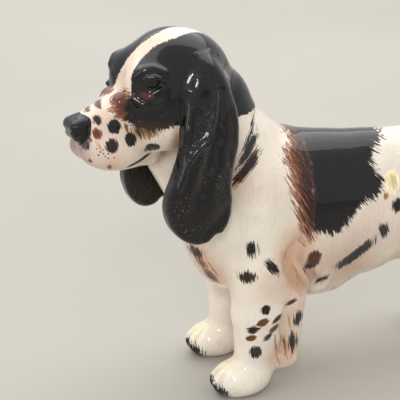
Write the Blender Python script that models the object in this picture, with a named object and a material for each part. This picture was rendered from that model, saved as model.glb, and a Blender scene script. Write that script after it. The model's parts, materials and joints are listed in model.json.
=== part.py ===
"""Standing spaniel figurine in glazed ceramic, slip-cast in nine pieces and luted together.

The dog faces -X and stands on z = 0, and its plane of symmetry is y = 0 within the empty that
carries every piece. That empty is moved last, so that the origin lies under the middle of the
figure. Sizes are in millimetres and are turned into metres as each form is made.

Each form is a set of rounded masses, like clay on an armature: a ball is one ellipsoid, a limb
is the hull of two. A Remesh fuses them, a Smooth softens the joins, a Decimate thins the mesh.
The outer form is cut into pieces along the seams where the castings were joined, and the same
core masses, each one wall smaller, make the hollow that is left when the slip is poured out.
"""

import math

import bmesh
import bpy
from mathutils import Matrix, Vector

MM = 0.001

# Overall proportions. Heights of the trunk are given from TRUNK_Z, so the legs take up any change.
TRUNK_Z = 60.0  # middle of the rib cage above the floor
HIP_X = 58.0  # middle of the hindquarters, behind the shoulder at about x = 0
SKULL_AHEAD = 42.0  # middle of the skull, ahead of the shoulder
SKULL_RISE = 53.0  # middle of the skull, above the middle of the rib cage
HEAD_TURN = 10.0  # degrees that the head looks to its left
FORE_STANCE = 15.5  # middle of each forepaw from the centre plane
HIND_STANCE = 14.0  # middle of each hind paw from the centre plane
FAR_STEP = 1.5  # the right foreleg stands this much behind the left one
EAR_DROP = 42.0  # from the root of an ear to the middle of its rounded lobe
EAR_WIDTH = 11.9  # half the width of the lobe
MUZZLE = 16.5  # from the stop to the back of the nose
TAIL = 14.0  # length of the docked tail behind its root

# Making
WALL = 3.2  # thickness of the cast shell
SEAM = 0.3  # gap between luted pieces
VENT_RADIUS = 2.0  # firing vent under the belly
VENT_AHEAD = 28.0  # from the hip to the vent

# Where the seams run
NECK_SEAM = Vector((-6.0, 0.0, -29.0))  # where it passes under the jaw, from the skull
NECK_SLOPE = Vector((-0.75, 0.0, 0.66))  # its upward normal, which lets it clear the nape
FORELEG_SEAM = 26.0  # below the middle of the rib cage
FORELEG_INNER = 8.5  # inner face of the seam at the floor, from the middle of the paw
FORELEG_LEAN = 3.2  # degrees that this face leans outwards as it rises
GROIN = Vector((-16.0, 0.0, -25.0))  # front of the hind leg seam, from the hip and TRUNK_Z
GROIN_SLOPE = 22.0  # degrees that the hind leg seam rises towards the rump
TAIL_SEAM = Vector((18.0, 0.0, 12.0))  # lower front edge, from the hip and TRUNK_Z
BEYOND = 20.0  # how far a cutter runs on past the form

# Mesh fineness
VOXEL = 1.2
TRUNK_SOFTENING = 60  # smoothing steps over the joins between masses
SOFTENING = 7
CRISP = 2
OUTER_SHARE = 0.1  # part of the remeshed faces that is kept
EAR_SHARE = 0.13
HOLLOW_SHARE = 0.04

LEFT, RIGHT = -1, 1  # the side of the centre plane in y
SIDES = ((LEFT, "left"), (RIGHT, "right"))
PAW_Z = 5.5  # middle of a paw
SKULL = Vector((-SKULL_AHEAD, 0.0, TRUNK_Z + SKULL_RISE))
NAPE = SKULL + Vector((13.0, 0.0, -12.0))
ATLAS_X = -22.0  # the upright axis that the head is turned about
FOREPAW_X = -19.5
HINDPAW_X = HIP_X + 13.0

CREAM = (0.86, 0.80, 0.72, 1.0)
BLACK = (0.012, 0.011, 0.012, 1.0)


# ---- scene and materials ----


def clear_scene():
    for thing in list(bpy.data.objects):
        bpy.data.objects.remove(thing)


def glaze(name, colour, roughness):
    material = bpy.data.materials.new(name)
    material.use_nodes = True
    shader = material.node_tree.nodes["Principled BSDF"]
    shader.inputs["Base Color"].default_value = colour
    shader.inputs["Roughness"].default_value = roughness
    shader.inputs["Metallic"].default_value = 0.0
    return material


# ---- masses ----


def ball(bm, centre, radii, tilt=0.0, inset=0.0):
    """An ellipsoid, its length tilted nose down by so many degrees."""
    turn = Matrix.Rotation(math.radians(tilt), 4, "Y")
    size = Matrix.Diagonal((*(radius - inset for radius in radii), 1.0))
    matrix = Matrix.Translation(centre) @ turn @ size
    return bmesh.ops.create_uvsphere(
        bm, u_segments=24, v_segments=16, radius=1.0, matrix=matrix
    )["verts"]


def limb(bm, start, end, widths, depths, side=(0, 1, 0), inset=0.0):
    """A rounded bar from start to end. Widths are its half sizes along side, depths the
    half sizes square to that, each given at the start and at the end."""
    along = (Vector(end) - Vector(start)).normalized()
    across = (Vector(side) - along * along.dot(side)).normalized()
    frame = Matrix((across, across.cross(along), along)).transposed().to_4x4()
    verts = []
    for centre, width, depth in zip((start, end), widths, depths):
        size = Matrix.Diagonal((width - inset, depth - inset, min(width, depth) - inset, 1.0))
        matrix = Matrix.Translation(centre) @ frame @ size
        verts += bmesh.ops.create_uvsphere(
            bm, u_segments=24, v_segments=16, radius=1.0, matrix=matrix
        )["verts"]
    faces = {face for vert in verts for face in vert.link_faces}
    bmesh.ops.delete(bm, geom=list(faces), context="FACES_ONLY")
    hull = bmesh.ops.convex_hull(bm, input=verts)
    bmesh.ops.delete(bm, geom=hull["geom_interior"], context="VERTS")
    return [vert for vert in verts if vert.is_valid]


def turn_head(bm, verts):
    turn = Matrix.Rotation(math.radians(HEAD_TURN), 3, "Z")
    bmesh.ops.rotate(bm, cent=(ATLAS_X, 0, 0), matrix=turn, verts=verts)


# ---- the dog, part by part ----


def trunk_core(bm, inset=0.0):
    back = TRUNK_Z + 16.5
    barrel = (HIP_X * 0.45, 0, TRUNK_Z - 3)
    ball(bm, (-3, 0, TRUNK_Z), (27, 19, 28), inset=inset)  # rib cage
    ball(bm, (HIP_X * 0.19, 0, TRUNK_Z), (24, 18.2, 26), inset=inset)  # last ribs
    ball(bm, barrel, (HIP_X * 0.55, 17.5, 25), inset=inset)
    ball(bm, (HIP_X, 0, TRUNK_Z + 4), (20, 16.5, 20), inset=inset)  # hindquarters
    limb(bm, (0, 0, back), (HIP_X + 2, 0, back - 4.5), (13, 12), (12.5, 13), inset=inset)


def trunk_modelling(bm):
    ball(bm, (-17, 0, TRUNK_Z - 5), (17, 16, 21))  # forechest
    keel, brisket = TRUNK_Z - 23, TRUNK_Z - 14
    limb(bm, (-6, 0, keel), (20, 0, keel + 0.5), (7.5, 7), (9, 10.5))  # belly feathering
    ball(bm, (12, 0, brisket), (20, 10.5, 18), tilt=8)
    for side, _ in SIDES:
        ball(bm, (-9, 12 * side, TRUNK_Z + 2), (12, 7.5, 22), tilt=-18)  # shoulder
        ball(bm, (HIP_X, 10.5 * side, TRUNK_Z - 6), (14, 8.5, 21), tilt=14)  # thigh


def neck_core(bm, inset=0.0):
    withers = (-8, 0, TRUNK_Z + 14.5)
    limb(bm, withers, NAPE, (16, 13.5), (16.5, 14), inset=inset)


def neck_modelling(bm):
    limb(bm, (-22, 0, TRUNK_Z), SKULL + Vector((4, 0, -27)), (13, 9.5), (12, 10))  # throat
    ball(bm, NAPE + Vector((6, 0, 3)), (10, 9.5, 11))  # crest of the nape


def skull_core(bm, inset=0.0):
    stop = SKULL + Vector((-10, 0, -9.5))
    tip = stop + Vector((-MUZZLE, 0, -4))
    verts = ball(bm, SKULL, (17.5, 14.2, 16.5), inset=inset)
    verts += ball(bm, SKULL + Vector((8.5, 0, 2)), (12.3, 11.8, 12), inset=inset)
    verts += limb(bm, stop, tip, (8.4, 6.8), (11.2, 8.6), inset=inset)
    turn_head(bm, verts)


def face(bm):
    nose = SKULL + Vector((-17.1 - MUZZLE, 0, -11.3))
    half = Vector((0, 1.8, 0))
    verts = limb(bm, nose - half, nose + half, (4.6, 4.6), (3.6, 3.6), side=(0, 0, 1))
    chin, jaw = SKULL + Vector((-7 - MUZZLE, 0, -23.7)), SKULL + Vector((-8, 0, -23.2))
    verts += limb(bm, chin, jaw, (3.4, 5.5), (3, 4.5))
    for side, _ in SIDES:
        lip = SKULL + Vector((-4.5 - MUZZLE, 4 * side, -19.4))
        verts += ball(bm, lip, (12.5, 5, 6.6), tilt=8)
        verts += ball(bm, SKULL + Vector((-4, 8 * side, -9)), (11, 6.3, 11.5))  # cheek
        verts += ball(bm, SKULL + Vector((-12.2, 6.8 * side, 3.8)), (6, 5, 6))  # brow
        verts += ball(bm, SKULL + Vector((-12.8, 9.2 * side, 2.0)), (3.6, 3.4, 3.4))  # eyeball
    turn_head(bm, verts)


def face_carving(bm):
    verts = []
    for side, _ in SIDES:
        verts += ball(bm, SKULL + Vector((-14.2, 12.2 * side, 2.0)), (4.6, 3.6, 4.0))  # socket
        nostril = SKULL + Vector((-19 - MUZZLE, 3.9 * side, -11.4))
        verts += ball(bm, nostril, (1.6, 1.5, 1.2))
        corner, front = Vector((-10, 9.8 * side, -21.6)), Vector((-21, 8.8 * side, -24.4))
        verts += limb(bm, SKULL + corner, SKULL + front, (0.9, 0.9), (1.1, 1.1))  # mouth line
    turn_head(bm, verts)


def foreleg(bm, side, step):
    y = FORE_STANCE * side
    elbow, wrist = Vector((-14 + step, y, TRUNK_Z / 2)), Vector((-15 + step, y, 9))
    upper, back = TRUNK_Z - 14, TRUNK_Z - 16
    limb(bm, (-12 + step, y * 0.9, upper), elbow, (8, 6.6), (11, 8.5))
    limb(bm, elbow, wrist, (6.4, 5.8), (8, 6.5))
    limb(bm, (-3 + step, y * 0.9, back), (-3.5 + step, y, 10), (5.5, 3.5), (9.5, 5.5))  # feather
    ball(bm, (FOREPAW_X + step, y, PAW_Z), (11.2, 8.1, 6.8))


def hindleg(bm, side):
    y = HIND_STANCE * side
    thigh = (HIP_X, 10.5 * side + (y - 10.5 * side) * 0.6, TRUNK_Z - 18)
    hock, heel = Vector((HIP_X + 19, y, TRUNK_Z * 0.4)), Vector((HIP_X + 17, y, 8))
    limb(bm, thigh, hock, (8, 5.5), (10, 6))
    limb(bm, hock, heel, (5, 5.2), (5.5, 5.5))
    ball(bm, (HINDPAW_X, y, PAW_Z), (11, 7.3, 6.6))


def tail(bm):
    root = Vector((HIP_X + 14, 0, TRUNK_Z + 17))
    limb(bm, root, root + Vector((TAIL, 0, 5)), (5.5, 3.6), (5.5, 3.6))


def toe_grooves(bm, x, y):
    """Three clefts over the front of the paw whose middle is at (x, y)."""
    for out in (-3.6, 0.0, 3.6):
        top = (x - 6.5, y + out, PAW_Z + 7.0 - abs(out) * 0.4)
        bottom = (x - 12.6 + abs(out) * 0.35, y + out * 1.15, PAW_Z - 3.0)
        limb(bm, top, bottom, (0.8, 0.8), (1.5, 1.5))


def ear(bm, side):
    """A thin leaf that hangs from beside the crown to a round lobe below the jaw."""
    root = SKULL + Vector((7, 13.5 * side, 3))
    drop = EAR_DROP / 4
    stations = (  # back, outwards, how many quarters down, half width, half thickness
        (0.0, 0.0, 0.0, 6.0, 5.0),
        (0.7, 2.1, 1.0, EAR_WIDTH - 2.9, 4.4),
        (0.0, 3.7, 2.0, EAR_WIDTH - 1.7, 4.0),
        (-3.5, 4.5, 3.0, EAR_WIDTH - 1.5, 3.8),
        (-5.3, 4.9, 4.0, EAR_WIDTH - 0.5, 3.8),
    )
    places = [root + Vector((x, y * side, -down * drop)) for x, y, down, _, _ in stations]
    verts = ball(bm, root + Vector((-5.8, 4.7 * side, -EAR_DROP)), (EAR_WIDTH, 3.9, EAR_WIDTH))
    for i in range(len(stations) - 1):
        widths = (stations[i][3], stations[i + 1][3])
        depths = (stations[i][4], stations[i + 1][4])
        verts += limb(bm, places[i], places[i + 1], widths, depths, side=(1, 0, 0))
    turn_head(bm, verts)


# ---- forms made of the masses ----


def soft_masses(bm):
    trunk_core(bm)
    trunk_modelling(bm)
    neck_core(bm)
    neck_modelling(bm)


def crisp_masses(bm):
    skull_core(bm)
    face(bm)
    tail(bm)
    for side, step in ((LEFT, 0.0), (RIGHT, FAR_STEP)):
        foreleg(bm, side, step)
        hindleg(bm, side)


def carving(bm):
    face_carving(bm)
    for side, step in ((LEFT, 0.0), (RIGHT, FAR_STEP)):
        toe_grooves(bm, FOREPAW_X + step, FORE_STANCE * side)
        toe_grooves(bm, HINDPAW_X, HIND_STANCE * side)


def hollow(bm):
    trunk_core(bm, inset=WALL)
    neck_core(bm, inset=WALL)
    skull_core(bm, inset=WALL)


def vent(bm):
    """The round hole that lets air out of the hollow body in the kiln."""
    middle = Vector((HIP_X - VENT_AHEAD, 0, TRUNK_Z - 27))
    bmesh.ops.create_cone(
        bm,
        cap_ends=True,
        segments=24,
        radius1=VENT_RADIUS,
        radius2=VENT_RADIUS,
        depth=30.0,
        matrix=Matrix.Translation(middle),
    )


# ---- meshes and cutters ----


def masses(name, build, base=None):
    """The masses that build makes, as a mesh in metres, joined by a base mesh if given."""
    bm = bmesh.new()
    build(bm)
    bmesh.ops.scale(bm, vec=(MM, MM, MM), verts=bm.verts)
    bmesh.ops.recalc_face_normals(bm, faces=bm.faces)
    if base:
        bm.from_mesh(base)
    mesh = bpy.data.meshes.new(name)
    bm.to_mesh(mesh)
    bm.free()
    return mesh


def link(name, mesh, parent=None):
    thing = bpy.data.objects.new(name, mesh)
    thing.parent = parent
    bpy.context.scene.collection.objects.link(thing)
    return thing


def helper(name, mesh, parent=None):
    """An object that only cuts others."""
    thing = link(name, mesh, parent)
    thing.hide_render = True
    thing.display_type = "WIRE"
    return thing


def baked(thing):
    """The object's mesh with its modifiers applied. The object itself is removed."""
    graph = bpy.context.evaluated_depsgraph_get()
    mesh = bpy.data.meshes.new_from_object(thing.evaluated_get(graph))
    bpy.data.objects.remove(thing)
    return mesh


def cut(thing, cutter, operation="DIFFERENCE"):
    boolean = thing.modifiers.new(f"{operation.lower()} {cutter.name}", "BOOLEAN")
    boolean.operation = operation
    boolean.solver = "EXACT"
    boolean.object = cutter


def add_fuse(thing, softening):
    remesh = thing.modifiers.new("fuse", "REMESH")
    remesh.mode = "VOXEL"
    remesh.voxel_size = VOXEL * MM
    smooth = thing.modifiers.new("soften", "SMOOTH")
    smooth.factor = 0.5
    smooth.iterations = softening


def fused(name, build, softening=SOFTENING, share=1.0, base=None, carve=None):
    """One smooth closed mesh from overlapping masses, less those of carve."""
    thing = link(name, masses(name, build, base))
    add_fuse(thing, softening)
    if carve:
        chisel = helper(f"{name}_carving", fused(f"{name}_carving", carve, softening=0))
        cut(thing, chisel)
        add_fuse(thing, CRISP)
    decimate = thing.modifiers.new("thin", "DECIMATE")
    decimate.ratio = share
    mesh = baked(thing)
    mesh.shade_smooth()
    return mesh


def box(name, parent, low, high, placed=Matrix(), grow=0.0):
    """A cutting box between two corners, then placed by a matrix in millimetres."""
    size = [h - l + 2 * grow for l, h in zip(low, high)]
    middle = [(h + l) / 2 for l, h in zip(low, high)]
    matrix = placed @ Matrix.Translation(middle) @ Matrix.Diagonal((*size, 1.0))
    mesh = masses(name, lambda bm: bmesh.ops.create_cube(bm, matrix=matrix))
    return helper(name, mesh, parent)


def neck_block(name, parent, offset):
    """Everything on the head's side of the neck seam, moved along the seam's normal."""
    reach = 100.0
    rotation = NECK_SLOPE.to_track_quat("Z", "Y").to_matrix().to_4x4()
    placed = Matrix.Translation(SKULL + NECK_SEAM) @ rotation
    return box(name, parent, (-reach, -reach, offset), (reach, reach, reach), placed)


def floor_block(name, parent):
    """Everything under the flat that the paws stand on."""
    far = HIP_X + 4 * BEYOND
    return box(name, parent, (-far, -far, -2 * BEYOND), (far, far, 0))


def grown(name, parent, mesh, by):
    """A cutter that is the given form swollen by so much."""
    thing = helper(name, mesh, parent)
    swell = thing.modifiers.new("swell", "DISPLACE")
    swell.strength = by * MM
    swell.mid_level = 0.0
    return thing


# ---- pieces ----


def foreleg_region(side):
    """Low corner, high corner and place of the box that holds a foreleg."""
    lean = Matrix.Rotation(math.radians(-FORELEG_LEAN * side), 4, "X")
    inner = (FORE_STANCE - FORELEG_INNER) * side
    inwards, outwards = sorted((0, 2 * BEYOND * side))
    low = (FOREPAW_X - BEYOND, inwards, -BEYOND)
    high = (8.5, outwards, TRUNK_Z - FORELEG_SEAM)
    return low, high, Matrix.Translation((0, inner, 0)) @ lean


def hindleg_region(side):
    slope = Matrix.Rotation(math.radians(-GROIN_SLOPE), 4, "Y")
    groin = Vector((HIP_X, 3 * side, TRUNK_Z)) + GROIN
    inwards, outwards = sorted((0, 2 * BEYOND * side))
    low, high = (-6, inwards, -TRUNK_Z - BEYOND), (70, outwards, 0)
    return low, high, Matrix.Translation(groin) @ slope


def tail_region():
    edge = Vector((HIP_X, 0, TRUNK_Z)) + TAIL_SEAM
    low, high = (0, -15, 0), (TAIL + 2 * BEYOND, 15, 2 * BEYOND)
    return low, high, Matrix.Translation(edge)


def regions():
    found = {"tail": tail_region()}
    for side, word in SIDES:
        found[f"foreleg_{word}"] = foreleg_region(side)
        found[f"hindleg_{word}"] = hindleg_region(side)
    return found


def limb_pieces(outer, torso, figure):
    """The solid legs and tail, each with its socket cut from the torso."""
    pieces = []
    for name, (low, high, placed) in regions().items():
        cut(torso, box(f"{name}_socket", figure, low, high, placed, grow=SEAM))
        piece = link(name, outer.copy(), figure)
        cut(piece, box(f"{name}_region", figure, low, high, placed), "INTERSECT")
        cut(piece, floor_block(f"{name}_floor", figure))
        pieces.append(piece)
    return pieces


def shell_pieces(outer, figure):
    """The hollow torso and head, which open into each other at the neck."""
    torso, head = link("torso", outer.copy(), figure), link("head", outer.copy(), figure)
    cut(torso, neck_block("behind_neck_seam", figure, -SEAM))
    cut(head, neck_block("ahead_of_neck_seam", figure, 0.0), "INTERSECT")
    inside = helper("hollow", fused("hollow", hollow, share=HOLLOW_SHARE), figure)
    cut(torso, inside)
    cut(head, inside)
    cut(torso, helper("vent", masses("vent", vent), figure))
    return torso, head


def ear_pieces(outer, figure):
    """Both ears, trimmed where they meet the head and the neck."""
    swollen = grown("swollen_form", figure, outer.copy(), SEAM)
    pieces = []
    for side, word in SIDES:
        leaf = fused(f"ear_{word}", lambda bm: ear(bm, side), share=EAR_SHARE)
        piece = link(f"ear_{word}", leaf, figure)
        cut(piece, swollen)
        pieces.append(piece)
    return pieces


def stand_over_origin(figure, pieces):
    """Moves the figure so that the origin is under the middle of its bounding box."""
    graph = bpy.context.evaluated_depsgraph_get()
    corners = [Vector(c) for piece in pieces for c in piece.evaluated_get(graph).bound_box]
    for axis in (0, 1):
        values = [corner[axis] for corner in corners]
        figure.location[axis] = -(min(values) + max(values)) / 2


def build():
    clear_scene()
    figure = link("figure", None)
    soft = fused("soft_form", soft_masses, softening=TRUNK_SOFTENING)
    outer = fused("outer_form", crisp_masses, share=OUTER_SHARE, base=soft, carve=carving)
    torso, head = shell_pieces(outer, figure)
    pale = [torso, head] + limb_pieces(outer, torso, figure)
    dark = ear_pieces(outer, figure)
    white, black = glaze("cream_glaze", CREAM, 0.12), glaze("black_glaze", BLACK, 0.08)
    for piece in pale:
        piece.data.materials.append(white)
    for piece in dark:
        piece.data.materials.append(black)
    stand_over_origin(figure, pale + dark)


build()
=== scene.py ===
"""A glazed ceramic spaniel: the sculpted surface, the painted coat and the studio around it.

The dog is sculpted in millimetres in its own frame: it faces -X, its plane of symmetry is y = 0
and it stands on z = 0. The head is sculpted looking straight ahead, then turned with HEAD_TURN.
Clay is a grid of distances to the surface, negative inside, which rounded masses are blended
into. Each piece is cut from that clay along the seams of the CAD model, and then painted: every
vertex stores how far it lies from the edge of the nearest brush mark, and the glaze material
turns that distance into hair-like strokes.
"""

import functools
import json
import math

import bpy
import numpy as np
import openvdb
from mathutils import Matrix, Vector


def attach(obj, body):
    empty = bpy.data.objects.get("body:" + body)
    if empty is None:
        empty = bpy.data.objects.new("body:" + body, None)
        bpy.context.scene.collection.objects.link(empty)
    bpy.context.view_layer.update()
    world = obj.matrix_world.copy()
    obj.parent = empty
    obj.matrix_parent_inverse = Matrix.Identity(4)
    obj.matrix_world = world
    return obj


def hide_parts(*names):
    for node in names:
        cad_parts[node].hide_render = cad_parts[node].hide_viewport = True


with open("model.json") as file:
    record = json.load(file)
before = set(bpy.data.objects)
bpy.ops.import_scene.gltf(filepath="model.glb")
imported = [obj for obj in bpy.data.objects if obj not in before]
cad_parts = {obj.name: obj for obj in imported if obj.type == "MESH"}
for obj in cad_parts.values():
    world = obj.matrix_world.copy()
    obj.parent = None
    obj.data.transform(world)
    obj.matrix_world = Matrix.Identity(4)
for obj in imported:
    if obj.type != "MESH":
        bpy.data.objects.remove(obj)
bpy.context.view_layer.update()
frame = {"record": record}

MM = 0.001
LEFT, RIGHT = -1, 1  # the side of the centre plane in y
BOTH = (LEFT, RIGHT)
SIDES = ((LEFT, "left"), (RIGHT, "right"))

# Places of the dog's own frame, in mm
HEAD_TURN = 10.0  # degrees that the head looks to its left
ATLAS_X = -22.0  # the upright axis that the head is turned about
FORE_STANCE, HIND_STANCE = 15.5, 14.0  # middle of each paw from the centre plane
FAR_STEP = 1.5  # the right foreleg stands this much behind the left one
PAW_Z = 5.5
FOREPAW_X, HINDPAW_X = -19.5, 71.0

# Sculpting
BODY_STEP = 0.6  # grid spacing of the clay
HEAD_STEP = 0.34
FAR = 6.0  # distances are kept up to this
TONGUE, TONGUE_INSET = 0.9, 0.03  # a piece runs on past its seam, just under its neighbour
HEAD, BODY = "head", "body"  # the two frames that masses are given in


def figure_shift():
    """From the dog's own frame to the row frame, in mm: the middle of the four soles moves there."""
    soles = [mount["pos_m"] for mount in frame["record"]["mounts"]]
    row = np.mean(soles, axis=0)[:2] / MM
    own = np.array([(2 * FOREPAW_X + FAR_STEP + 2 * HINDPAW_X) / 4, 0.0])
    return np.append(row - own, 0.0)


SHIFT = figure_shift()


# ---- the clay ----


def turned(points, degrees):
    """Points x, y, z turned about the upright axis of the atlas."""
    c, s = math.cos(math.radians(degrees)), math.sin(math.radians(degrees))
    x, y, z = points[0] - ATLAS_X, points[1], points[2]
    return ATLAS_X + c * x - s * y, s * x + c * y, z


def between_frames(points, source, target):
    if source == target:
        return points
    return turned(points, HEAD_TURN if source == HEAD else -HEAD_TURN)


def blended(a, b, width):
    """The smaller of two distances, rounded where they cross over this width."""
    width = np.maximum(width, 1e-3)
    share = np.maximum(width - np.abs(a - b), 0.0) / width
    return np.minimum(a, b) - share * share * width * 0.25


def cut_out(a, b, width):
    """The clay a with the mass b taken out of it, its edge rounded over this width."""
    return -blended(-a, b, width)


class Clay:
    """Distances to the surface on a regular grid, in the frame of the head or of the body."""

    def __init__(self, low, high, step, home):
        self.low = np.array(low, float)
        self.step, self.home = step, home
        self.count = np.ceil((np.array(high) - self.low) / step).astype(int) + 1
        self.field = np.full(self.count, FAR, np.float32)

    def window(self, centre, reach):
        """The part of the grid around a point, or None if it lies outside."""
        first = np.floor((np.array(centre) - reach - self.low) / self.step).astype(int)
        last = np.ceil((np.array(centre) + reach - self.low) / self.step).astype(int) + 1
        first, last = np.maximum(first, 0), np.minimum(last, self.count)
        if (last <= first).any():
            return None
        return tuple(slice(a, b) for a, b in zip(first, last))

    def points(self, window=None):
        window = window or tuple(slice(0, n) for n in self.count)
        lines = [
            (self.low[i] + self.step * np.arange(self.count[i]))[window[i]].astype(np.float32)
            for i in range(3)
        ]
        return np.meshgrid(*lines, indexing="ij", sparse=True)

    def points_in(self, home):
        return between_frames(self.points(), self.home, home)

    def work(self, mass, action, width):
        """Blends in or cuts out one mass, which is (distance function, middle, reach, frame)."""
        distance, middle, reach, home = mass
        middle = between_frames(middle, home, self.home)
        window = self.window(middle, reach + width + 2.5)
        if window is None:
            return
        local = between_frames(self.points(window), self.home, home)
        self.field[window] = action(self.field[window], distance(local), width)

    def add(self, mass, width):
        self.work(mass, blended, width)

    def cut(self, mass, width):
        self.work(mass, cut_out, width)

    def sample(self, points, field=None):
        """The field at an array of points, one row each, in this clay's frame."""
        field = self.field if field is None else field
        place = (points - self.low) / self.step
        place = np.clip(place, 0, np.array(field.shape) - 1.001)
        cell = place.astype(int)
        part = place - cell
        value = np.zeros(len(points))
        for corner in np.ndindex(2, 2, 2):
            weight = np.prod(np.where(corner, part, 1 - part), axis=1)
            value += weight * field[tuple((cell + corner).T)]
        return value

    def slope(self, points, field=None):
        """Unit vectors pointing out of the clay at these points."""
        reach = self.step * 0.9
        columns = []
        for axis in np.eye(3):
            ahead = self.sample(points + axis * reach, field)
            columns.append(ahead - self.sample(points - axis * reach, field))
        slope = np.stack(columns, 1)
        return slope / np.maximum(np.linalg.norm(slope, axis=1, keepdims=True), 1e-6)

    def surface(self, field):
        """The mesh where a field crosses zero: points and four-sided faces, facing out."""
        grid = openvdb.FloatGrid(FAR)
        grid.copyFromArray(np.ascontiguousarray(field, np.float32))
        points, faces = grid.convertToQuads(0.0)
        return points * self.step + self.low, faces


# ---- masses ----


def tilted(points, centre, degrees):
    """Places along, across and up from a centre, its length tilted nose down by so many degrees."""
    c, s = math.cos(math.radians(degrees)), math.sin(math.radians(degrees))
    x, y, z = (points[i] - centre[i] for i in range(3))
    return c * x - s * z, y, s * x + c * z


def egg_gap(parts):
    """Distance to an egg, from the offset and the half size along each of its axes."""
    near = np.sqrt(sum((offset / size) ** 2 for offset, size in parts))
    steep = np.sqrt(sum((offset / size**2) ** 2 for offset, size in parts))
    return near * (near - 1) / np.maximum(steep, 1e-4)


def rounded_gap(over, rounding):
    """Distance to a form with rounded edges, from how far beyond each face, less the rounding."""
    outside = np.sqrt(sum(np.maximum(o, 0) ** 2 for o in over))
    return outside + np.minimum(functools.reduce(np.maximum, over), 0) - rounding


def run_share_and_gap(place, start, end):
    """Each place's share of the way from start to end, and its squared distance from that run."""
    step = end - start
    local = [p - s for p, s in zip(place, start)]
    share = np.clip(sum(p * s for p, s in zip(local, step)) / step.dot(step), 0, 1)
    return share, sum((p - share * s) ** 2 for p, s in zip(local, step))


def ball(centre, radii, tilt=0.0, home=BODY):
    """An egg with these half sizes, its length tilted nose down by so many degrees."""

    def distance(points):
        return egg_gap(list(zip(tilted(points, centre, tilt), radii)))

    return distance, centre, max(radii), home


def limb(start, end, widths, depths, side=(0, 1, 0), home=BODY):
    """A rounded bar. Widths are its half sizes along side, depths those square to it, each at
    the start and at the end."""
    start, end = np.array(start, float), np.array(end, float)
    length = np.linalg.norm(end - start)
    axis = (end - start) / length
    across = np.array(side, float) - axis * axis.dot(side)
    across /= np.linalg.norm(across)
    square = np.cross(axis, across)

    def distance(points):
        local = [points[i] - start[i] for i in range(3)]
        along = sum(local[i] * axis[i] for i in range(3)) / length
        share = np.clip(along, 0, 1)
        width = widths[0] + (widths[1] - widths[0]) * share
        depth = depths[0] + (depths[1] - depths[0]) * share
        parts = (
            (sum(local[i] * across[i] for i in range(3)), width),
            (sum(local[i] * square[i] for i in range(3)), depth),
            ((along - share) * length, np.minimum(width, depth)),
        )
        return egg_gap(parts)

    return distance, (start + end) / 2, length / 2 + max(*widths, *depths), home


def block(centre, half, rounding, tilt=0.0, home=BODY):
    """A box with rounded edges, its length tilted nose down by so many degrees."""

    def distance(points):
        places = tilted(points, centre, tilt)
        over = [np.abs(place) - size + rounding for place, size in zip(places, half)]
        return rounded_gap(over, rounding)

    return distance, centre, max(half) * 1.5, home


def cord(points, radii, home=BODY):
    """A round string of clay through these points, with a radius at each."""
    points = [np.array(p, float) for p in points]
    radii = radii if hasattr(radii, "__len__") else [radii] * len(points)

    def distance(place):
        found = None
        for i in range(len(points) - 1):
            share, gap = run_share_and_gap(place, points[i], points[i + 1])
            away = np.sqrt(gap) - (radii[i] + (radii[i + 1] - radii[i]) * share)
            found = away if found is None else np.minimum(found, away)
        return found

    middle = (np.min(points, 0) + np.max(points, 0)) / 2
    reach = max(np.linalg.norm(p - middle) for p in points) + max(radii)
    return distance, middle, reach, home


def mirrored(point, side):
    return (point[0], point[1] * side, point[2])


def head_ball(centre, radii, side=RIGHT, tilt=0.0):
    """An egg on one side of the head. One on the centre plane needs no side."""
    return ball(mirrored(centre, side), radii, tilt, HEAD)


def head_cord(points, radii, side):
    """A string of clay on one side of the head."""
    return cord([mirrored(point, side) for point in points], radii, HEAD)


def placed(point, side):
    """A point that is given on the left side, on either side."""
    return np.array((point[0], -point[1] * side, point[2]))


# ---- the dog, part by part ----


def sculpt_trunk(clay):
    clay.add(ball((-3, 0, 60), (27, 19, 28)), 0)  # rib cage
    clay.add(ball((-17, 0, 55), (17, 16, 21)), 6)  # forechest
    clay.add(limb((0, 0, 76.5), (60, 0, 72), (13, 12), (12.5, 13)), 8)  # back
    clay.add(ball((26, 0, 57), (32, 17.5, 25)), 6)
    clay.add(ball((11, 0, 60), (24, 18.2, 26)), 6)  # last ribs
    clay.add(ball((58, 0, 64), (20, 16.5, 20)), 6)  # hindquarters
    clay.add(limb((-6, 0, 37), (20, 0, 37.5), (7.5, 7), (9, 10.5)), 6)  # belly feathering
    clay.add(ball((12, 0, 46), (20, 10.5, 18), tilt=8), 5)
    for side in BOTH:
        clay.add(ball((-9, 12 * side, 62), (12, 7.5, 22), tilt=-18), 5)  # shoulder


def sculpt_neck(clay):
    clay.add(limb((-8, 0, 74.5), (-29, 0, 101), (16, 13.5), (16.5, 14)), 8)
    clay.add(ball((-23, 0, 104), (10, 9.5, 11)), 5)  # crest of the nape
    clay.add(limb((-22, 0, 60), (-38, 0, 86), (13, 9.5), (12, 10)), 8)  # throat


def sculpt_skull(clay):
    clay.add(head_ball((-41.2, 0, 113.4), (17, 14.2, 17.3)), 6)
    clay.add(head_ball((-33.5, 0, 115), (12.3, 11.8, 12)), 5)
    clay.add(limb((-52, 0, 103.5), (-68.5, 0, 99.5), (8.4, 6.8), (11.2, 8.6), home=HEAD), 5)
    for side in BOTH:
        clay.add(head_ball((-63, 4, 93.6), (12.5, 5, 6.6), side, 8), 3)  # lip
    clay.add(limb((-65.5, 0, 89.3), (-50, 0, 89.8), (3.4, 5.5), (3, 4.5), home=HEAD), 3)  # jaw
    for side in BOTH:
        clay.add(head_ball((-46, 8, 104), (11, 6.3, 11.5), side), 5)  # cheek
        clay.add(head_ball((-53.2, 6.6, 115.4), (5.6, 4.8, 6), side), 5)  # brow


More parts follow.
